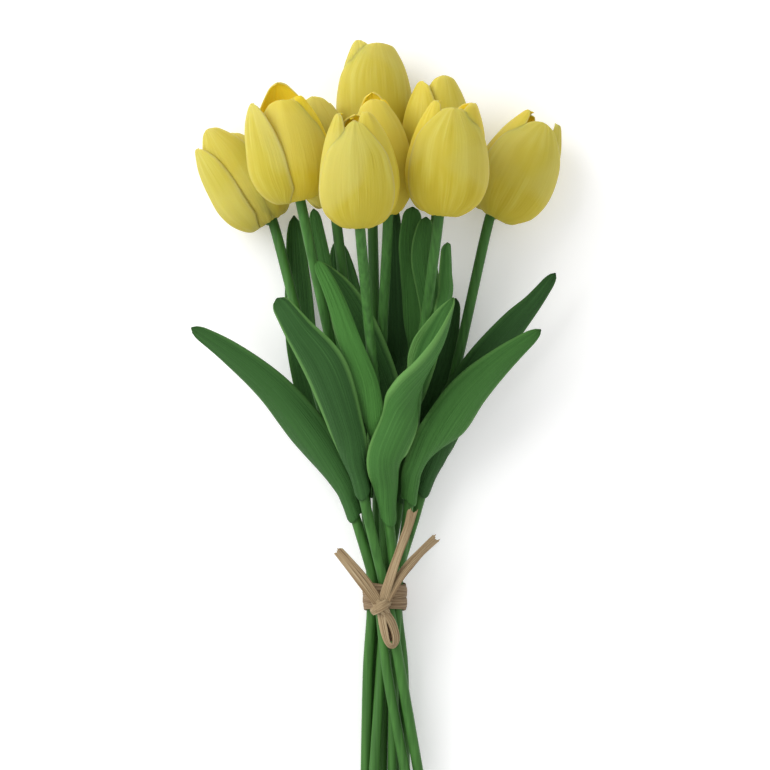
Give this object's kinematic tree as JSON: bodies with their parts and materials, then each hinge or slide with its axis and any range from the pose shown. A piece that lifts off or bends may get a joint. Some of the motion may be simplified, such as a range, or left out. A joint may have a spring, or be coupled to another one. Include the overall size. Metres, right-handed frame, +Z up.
{
  "type": "bunch of tulips",
  "caption": "Bunch of yellow tulips with lance-shaped green leaves, tied round the stems with natural raffia and lying on a surface.",
  "frame": {"origin": "on the surface that the bunch lies on, under the middle of its box", "axes": "+Y from the cut stem ends to the blooms, +X to the right seen from above with the blooms at the top, +Z up"},
  "size_m": [0.1802, 0.3644, 0.1023],
  "materials": {
    "petal": "matt, soft, finely ribbed",
    "stem": "smooth, satin",
    "leaf": "matt, soft, finely ribbed",
    "raffia": "dry, fibrous"
  },
  "bodies": {
    "root": {"tulip_1_stem": "stem", "tulip_1_bloom": "petal", "tulip_2_stem": "stem", "tulip_2_bloom": "petal", "tulip_3_stem": "stem", "tulip_3_bloom": "petal", "tulip_4_stem": "stem", "tulip_4_bloom": "petal", "tulip_5_stem": "stem", "tulip_5_bloom": "petal", "tulip_6_stem": "stem", "tulip_6_bloom": "petal", "tulip_7_stem": "stem", "tulip_7_bloom": "petal", "tulip_8_stem": "stem", "tulip_8_bloom": "petal", "tulip_9_stem": "stem", "tulip_9_bloom": "petal", "tulip_1_leaf": "leaf", "tulip_2_leaf": "leaf", "tulip_3_lower_leaf": "leaf", "tulip_3_upper_leaf": "leaf", "tulip_4_lower_leaf": "leaf", "tulip_4_upper_leaf": "leaf", "tulip_5_lower_leaf": "leaf", "tulip_5_upper_leaf": "leaf", "tulip_6_leaf": "leaf", "tulip_7_lower_leaf": "leaf", "tulip_7_upper_leaf": "leaf", "tulip_7_top_leaf": "leaf", "tulip_8_lower_leaf": "leaf", "tulip_8_upper_leaf": "leaf", "tulip_9_leaf": "leaf", "raffia_band": "raffia", "raffia_knot": "raffia"}
  },
  "joints": []
}
